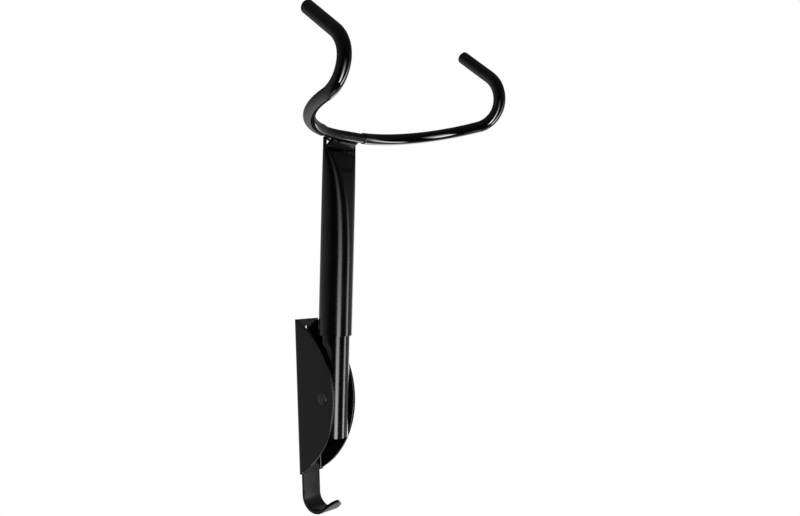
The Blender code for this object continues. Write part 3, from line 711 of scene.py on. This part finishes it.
def grip_rings(start):
    """Inner rings from the rod's end back to the grip's edge, then outer rings out to the blunt tip."""
    frames = framed(half_rod(math.asin((start - CROSSBAR_HALF) / PLAN_RADIUS)))
    bore = ROD_DIAMETER / 2 + COAT_CLEARANCE
    inner = [rod_ring(here, bore) for here in frames[:-1]]
    inner.append(rod_ring(frames[-1], bore, GAP - GRIP_TIP))
    lengths = [0.0]
    for before, after in zip(frames, frames[1:]):
        lengths.append(lengths[-1] + (after[0] - before[0]).length)
    thin, thick = GRIP_THIN / 2, GRIP_THICK / 2
    edge = thin - bore
    outer = []
    for k in range(1, GRIP_EDGE_STEPS):
        turn = math.pi / 2 * k / GRIP_EDGE_STEPS
        outer.append(rod_ring(frames[0], bore + edge * math.sin(turn), -edge * math.cos(turn)))
    swell = lengths[PLAN_STEPS] - GRIP_SWELL_START
    for here, length in zip(frames[:-1], lengths):
        outer.append(rod_ring(here, thin + (thick - thin) * smooth((length - swell) / GRIP_SWELL_LENGTH)))
    for distance, radius in dome(thick, GRIP_CROWN):
        outer.append(rod_ring(frames[-1], radius, distance - GRIP_CROWN))
    return inner[::-1] + outer


def make_grips(surface):
    """The two dipped coats, each closed round its rod end."""
    right = loft("grip_right", grip_rings(GRIP_START_RIGHT), place=ARM)
    piece(right, "cradle", surface, ["cradle_grip_right"])
    left = loft("grip_left", mirrored(grip_rings(GRIP_START_LEFT)), place=ARM)
    piece(left, "cradle", surface, ["cradle_grip_left"])


def bead_rings(centre, side):
    """Rings of a rippled weld bead, along the rack's width and round at its ends."""
    rings = []
    for k in range(BEAD_STEPS + 1):
        share = 2.0 * k / BEAD_STEPS - 1.0
        ripple = 1.0
        for (size, turn), start in zip(BEAD_RIPPLES, (0.0, side)):
            ripple += size * math.sin(k * turn + start)
        rounding = (1.0 - abs(share) ** BEAD_END_POWER) ** 0.5
        radius = BEAD_DIAMETER / 2 * ripple * rounding + BEAD_END_RADIUS
        place = centre + ACROSS * (share * BEAD_LENGTH / 2)
        rings.append(circle(place, UP, ACROSS.cross(UP), radius, BEAD_SIDES))
    return rings


def drop_rings(centre, radius):
    """Rings of a slightly lumpy drop of weld metal."""
    rings = []
    for k in range(TACK_STEPS):
        turn = math.pi * (k + 0.5) / TACK_STEPS
        lump = 1.0 + TACK_LUMP * math.sin(TACK_LUMP_TURNS * turn)
        place = centre + ACROSS * (radius * math.cos(turn))
        rings.append(circle(place, UP, ACROSS.cross(UP), radius * math.sin(turn) * lump, PIN_SIDES))
    return rings


def make_welds(surface):
    """Two rippled weld beads, above and below the tab where it meets the rod, and two tacks beside it."""
    bead = BEAD_DIAMETER / 2
    away = ROD_DIAMETER / 2 + GAP + bead
    spread = math.asin((TAB_THICKNESS / 2 + GAP + bead) / away)
    for name, node, side in (("weld_lower", "weld_bead_lower", -1), ("weld_upper", "weld_bead_upper", 1)):
        angle = tab_bend() + math.pi + side * spread
        centre = at(0, CROSSBAR_FORWARD + away * math.sin(angle), CROSSBAR_UP + away * math.cos(angle))
        weld = loft(name, bead_rings(centre, side), place=ARM)
        piece(weld, "cradle", surface, [node])
    for name, across, forward, up, size in TACKS:
        tack = loft(name, drop_rings(at(across, forward, up), size), place=ARM)
        piece(tack, "cradle", surface)


def new_material(name):
    """A new material with its node tree."""
    made = bpy.data.materials.new(name)
    made.use_nodes = True
    return made, made.node_tree


def object_coordinates(tree):
    """The coordinates of the object that a material is on."""
    return tree.nodes.new("ShaderNodeTexCoord").outputs["Object"]


def noise(tree, coordinates, scale, detail, roughness=0.5):
    """A noise texture's value at a scale in cycles per metre."""
    texture = tree.nodes.new("ShaderNodeTexNoise")
    texture.inputs["Scale"].default_value = scale
    texture.inputs["Detail"].default_value = detail
    texture.inputs["Roughness"].default_value = roughness
    tree.links.new(coordinates, texture.inputs["Vector"])
    return texture.outputs["Fac"]


def ranged(tree, value, low, high, start=NOISE_LOW, end=NOISE_HIGH):
    """A value spread from one range to another."""
    mapped = tree.nodes.new("ShaderNodeMapRange")
    mapped.inputs["From Min"].default_value = start
    mapped.inputs["From Max"].default_value = end
    mapped.inputs["To Min"].default_value = low
    mapped.inputs["To Max"].default_value = high
    tree.links.new(value, mapped.inputs["Value"])
    return mapped.outputs["Result"]


def maths(tree, operation, first, second):
    """What an operation makes of two values, of which the second may be a plain number."""
    node = tree.nodes.new("ShaderNodeMath")
    node.operation = operation
    tree.links.new(first, node.inputs[0])
    if isinstance(second, float):
        node.inputs[1].default_value = second
    else:
        tree.links.new(second, node.inputs[1])
    return node.outputs["Value"]


def tinted(tree, value, dark, light):
    """A colour between two as a value goes from low to high."""
    ramp = tree.nodes.new("ShaderNodeValToRGB")
    ends = ((NOISE_LOW, dark), (NOISE_HIGH, light))
    for element, (position, colour) in zip(ramp.color_ramp.elements, ends):
        element.position = position
        element.color = (*colour, 1.0)
    tree.links.new(value, ramp.inputs["Fac"])
    return ramp.outputs["Color"]


def bumped(tree, shader, layers):
    """Bumps a shader with layers of (height value, height in metres)."""
    normal = None
    for value, height in layers:
        bump = tree.nodes.new("ShaderNodeBump")
        bump.inputs["Strength"].default_value = 1.0
        bump.inputs["Distance"].default_value = height
        tree.links.new(value, bump.inputs["Height"])
        if normal:
            tree.links.new(normal, bump.inputs["Normal"])
        normal = bump.outputs["Normal"]
    tree.links.new(normal, shader.inputs["Normal"])


def make_surface(name, cloud, dark, light, rough, bumps):
    """A material whose colour and roughness follow one noise, with bumps from others."""
    made, tree = new_material(name)
    shader = tree.nodes["Principled BSDF"]
    where = object_coordinates(tree)
    mottle = noise(tree, where, *cloud)
    tree.links.new(tinted(tree, mottle, dark, light), shader.inputs["Base Color"])
    tree.links.new(ranged(tree, mottle, *rough), shader.inputs["Roughness"])
    bumped(tree, shader, [(noise(tree, where, scale, detail), height) for scale, detail, height in bumps])
    return made


def satin_paint():
    """Satin black powder coat with a faint orange peel."""
    return make_surface("satin_black_paint", **SATIN_PAINT, bumps=SATIN_PEEL)


def weld_paint():
    """The same powder coat over the lumps of welded and bent steel."""
    return make_surface("satin_black_paint_on_weld", **SATIN_PAINT, bumps=(*SATIN_PEEL, WELD_LUMPS))


def dipped_coat():
    """Glossy black dipped vinyl with soft, slow waves in its surface."""
    made = make_surface("glossy_black_coat", (20.0, 2.0),
                        dark=(0.0005, 0.0005, 0.0005), light=(0.0012, 0.0012, 0.0013), rough=(0.02, 0.04),
                        bumps=((60.0, 1.0, 0.01 * MM), (900.0, 2.0, 0.001 * MM)))
    made.node_tree.nodes["Principled BSDF"].inputs["Specular IOR Level"].default_value = 0.9
    return made


def black_steel():
    """Blackened steel, mottled and a little rough."""
    made = make_surface("blackened_steel", (260.0, 4.0, 0.6),
                        dark=(0.012, 0.012, 0.013), light=(0.05, 0.05, 0.05), rough=(0.32, 0.5),
                        bumps=((420.0, 3.0, 0.1 * MM),))
    made.node_tree.nodes["Principled BSDF"].inputs["Metallic"].default_value = 0.5
    return made


def nylon():
    """Dark moulded nylon."""
    return make_surface("dark_nylon", (500.0, 3.0),
                        dark=(0.02, 0.02, 0.02), light=(0.035, 0.035, 0.034), rough=(0.45, 0.6),
                        bumps=((500.0, 3.0, 0.01 * MM),))


def make_camera():
    """Camera at the photograph's place, turned by its heading, tilt and roll."""
    a, e = CAMERA_TURN, CAMERA_TILT
    ahead = Vector((math.sin(a) * math.cos(e), math.cos(a) * math.cos(e), -math.sin(e)))
    right = Vector((math.cos(a), -math.sin(a), 0.0))
    up = right.cross(ahead)
    c, s = math.cos(CAMERA_ROLL), math.sin(CAMERA_ROLL)
    pose = Matrix((c * right + s * up, c * up - s * right, -ahead)).transposed().to_4x4()
    pose.translation = CAMERA_EYE
    data = bpy.data.cameras.new("camera")
    data.sensor_width = CAMERA_SENSOR
    data.lens = CAMERA_LENS
    camera = bpy.data.objects.new("camera", data)
    camera.matrix_world = pose
    bpy.context.scene.collection.objects.link(camera)
    bpy.context.scene.camera = camera


def dimmer_unseen(tree, strength):
    """Full strength for camera, glossy and transmission rays, and a strength as given for all others."""
    path = tree.nodes.new("ShaderNodeLightPath")
    seen = path.outputs["Is Camera Ray"]
    for kind in ("Is Glossy Ray", "Is Transmission Ray"):
        seen = maths(tree, "MAXIMUM", seen, path.outputs[kind])
    return ranged(tree, seen, strength, 1.0, 0.0, 1.0)


def make_world():
    """White wherever it is seen or mirrored, and a dim white light elsewhere."""
    world = bpy.data.worlds.new("studio")
    bpy.context.scene.world = world
    world.use_nodes = True
    background = world.node_tree.nodes["Background"]
    background.inputs["Color"].default_value = (1.0, 1.0, 1.0, 1.0)
    world.node_tree.links.new(dimmer_unseen(world.node_tree, WORLD_LIGHT), background.inputs["Strength"])


def make_floor():
    """Round pale floor well below the rack, which fades to the background's white at its edge."""
    bm = bmesh.new()
    bmesh.ops.create_circle(bm, cap_ends=True, segments=96, radius=FLOOR_RADIUS)
    floor = mesh_object("floor", bm)
    floor.location.z = FLOOR_UP
    made, tree = new_material("pale_floor")
    shader = tree.nodes["Principled BSDF"]
    shader.inputs["Base Color"].default_value = FLOOR_GREY
    shader.inputs["Roughness"].default_value = 0.9
    length = tree.nodes.new("ShaderNodeVectorMath")
    length.operation = "LENGTH"
    tree.links.new(object_coordinates(tree), length.inputs[0])
    start, end = FLOOR_FADE
    fade = ranged(tree, length.outputs["Value"], 0.0, 1.0, FLOOR_RADIUS * start, FLOOR_RADIUS * end)
    glow = tree.nodes.new("ShaderNodeEmission")
    tree.links.new(dimmer_unseen(tree, FLOOR_GLOW), glow.inputs["Strength"])
    mixed = tree.nodes.new("ShaderNodeMixShader")
    tree.links.new(fade, mixed.inputs[0])
    tree.links.new(shader.outputs["BSDF"], mixed.inputs[1])
    tree.links.new(glow.outputs["Emission"], mixed.inputs[2])
    tree.links.new(mixed.outputs["Shader"], tree.nodes["Material Output"].inputs["Surface"])
    floor.data.materials.append(made)


def direction(heading, elevation):
    """Unit vector from the rack at a heading from straight out toward its right, and an elevation."""
    a, e = math.radians(heading), math.radians(elevation)
    return Vector((math.sin(a) * math.cos(e), -math.cos(a) * math.cos(e), math.sin(e)))


def face_rack(thing, heading, elevation, distance):
    """Puts a lamp or card at a distance from the rack, turned toward it."""
    away = direction(heading, elevation)
    thing.location = RACK_MIDDLE + away * distance
    thing.rotation_mode = "QUATERNION"
    thing.rotation_quaternion = away.to_track_quat("Z", "Y")


def make_lamp(name, heading, elevation, distance, wide, high, radiance):
    """A plain soft lamp that faces the rack and isn't itself mirrored in it."""
    data = bpy.data.lights.new(name, "AREA")
    data.shape = "RECTANGLE"
    data.size = wide
    data.size_y = high
    data.energy = radiance * math.pi * wide * high
    lamp = bpy.data.objects.new(name, data)
    face_rack(lamp, heading, elevation, distance)
    lamp.visible_camera = False
    lamp.visible_glossy = False
    bpy.context.scene.collection.objects.link(lamp)


def only_mirrored(thing):
    """Keeps a studio object out of sight and out of the light, so that it shows only in the gloss."""
    thing.visible_camera = False
    thing.visible_diffuse = False
    thing.visible_transmission = False
    thing.visible_volume_scatter = False
    thing.visible_shadow = False


def glow_material(name):
    """A new material that only gives light, with its tree and that light's node."""
    made, tree = new_material(name)
    tree.nodes.remove(tree.nodes["Principled BSDF"])
    glow = tree.nodes.new("ShaderNodeEmission")
    tree.links.new(glow.outputs["Emission"], tree.nodes["Material Output"].inputs["Surface"])
    return made, tree, glow


def apart(tree, vector):
    """The X, Y and Z of a vector, each as an output of its own."""
    parts = tree.nodes.new("ShaderNodeSeparateXYZ")
    tree.links.new(vector, parts.inputs["Vector"])
    return parts.outputs


def make_tent():
    """Dark tent that the rack's gloss shows in place of the room, grey toward the floor behind it."""
    bm = bmesh.new()
    bmesh.ops.create_uvsphere(bm, u_segments=48, v_segments=24, radius=TENT_RADIUS)
    tent = mesh_object("tent", bm)
    tent.data.shade_smooth()
    tent.location = RACK_MIDDLE
    made, tree, glow = glow_material("tent")
    where = object_coordinates(tree)
    toward = tree.nodes.new("ShaderNodeVectorMath")
    toward.operation = "DOT_PRODUCT"
    toward.inputs[1].default_value = direction(TENT_GREY_HEADING, TENT_GREY_RISE)
    tree.links.new(where, toward.inputs[0])
    start, end = (share * TENT_RADIUS for share in TENT_GREY_AROUND)
    behind = ranged(tree, toward.outputs["Value"], 0.0, 1.0, start, end)
    start, end = (share * TENT_RADIUS for share in TENT_GREY_UP)
    grey = ranged(tree, apart(tree, where)["Z"], TENT_GREY_LOW, TENT_GREY_HIGH, start, end)
    total = maths(tree, "ADD", maths(tree, "MULTIPLY", behind, grey), TENT_BLACK)
    tree.links.new(total, glow.inputs["Strength"])
    tent.data.materials.append(made)
    only_mirrored(tent)


def make_softbox(name, heading, distance, bottom, top, wide, radiance):
    """An upright softbox, as wide as it says at half its brightness, that fades slowly toward its top."""
    bm = bmesh.new()
    bmesh.ops.create_grid(bm, x_segments=1, y_segments=1, size=1.0)
    softbox = mesh_object(name, bm)
    face_rack(softbox, heading, 0.0, distance)
    softbox.location.z = (bottom + top) / 2
    softbox.scale = (wide, (top - bottom) / 2, 1.0)
    made, tree, glow = glow_material(name)
    parts = apart(tree, object_coordinates(tree))
    sideways = maths(tree, "ABSOLUTE", parts["X"], 0.0)
    strength = radiance
    for value, low, high, start, end in (
            (sideways, 1.0, 0.0, 0.5 - SOFTBOX_EDGE / 2, 0.5 + SOFTBOX_EDGE / 2),
            (parts["Y"], 0.0, 1.0, -1.0, 2.0 * SOFTBOX_RISE - 1.0),
            (parts["Y"], 1.0, 0.0, 2.0 * SOFTBOX_FALL - 1.0, 1.0)):
        window = ranged(tree, value, low, high, start, end)
        window.node.interpolation_type = "SMOOTHSTEP"
        strength = maths(tree, "MULTIPLY", window, strength)
    tree.links.new(strength, glow.inputs["Strength"])
    see_through = tree.nodes.new("ShaderNodeBsdfTransparent")
    both = tree.nodes.new("ShaderNodeAddShader")
    tree.links.new(glow.outputs["Emission"], both.inputs[0])
    tree.links.new(see_through.outputs["BSDF"], both.inputs[1])
    tree.links.new(both.outputs["Shader"], tree.nodes["Material Output"].inputs["Surface"])
    softbox.data.materials.append(made)
    only_mirrored(softbox)


make_camera()
paint = satin_paint()
rough_paint = weld_paint()
coat = dipped_coat()
steel = black_steel()
plastic = nylon()
make_bracket(paint)
make_rivet(steel)
make_tube(paint)
make_sleeve(paint)
make_tab(paint)
make_screw(steel)
make_rod(rough_paint)
make_grips(coat)
make_welds(rough_paint)
for node, surface in (("pivot_spacer", steel), ("swivel_rivet_nut", steel),
                      ("pivot_washer_left", plastic), ("pivot_washer_right", plastic)):
    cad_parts[node].data.materials.clear()
    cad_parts[node].data.materials.append(surface)
bpy.context.scene.view_settings.view_transform = "Standard"
make_world()
make_floor()
make_tent()
for lamp in LAMPS:
    make_lamp(*lamp)
for softbox in SOFTBOXES:
    make_softbox(*softbox)
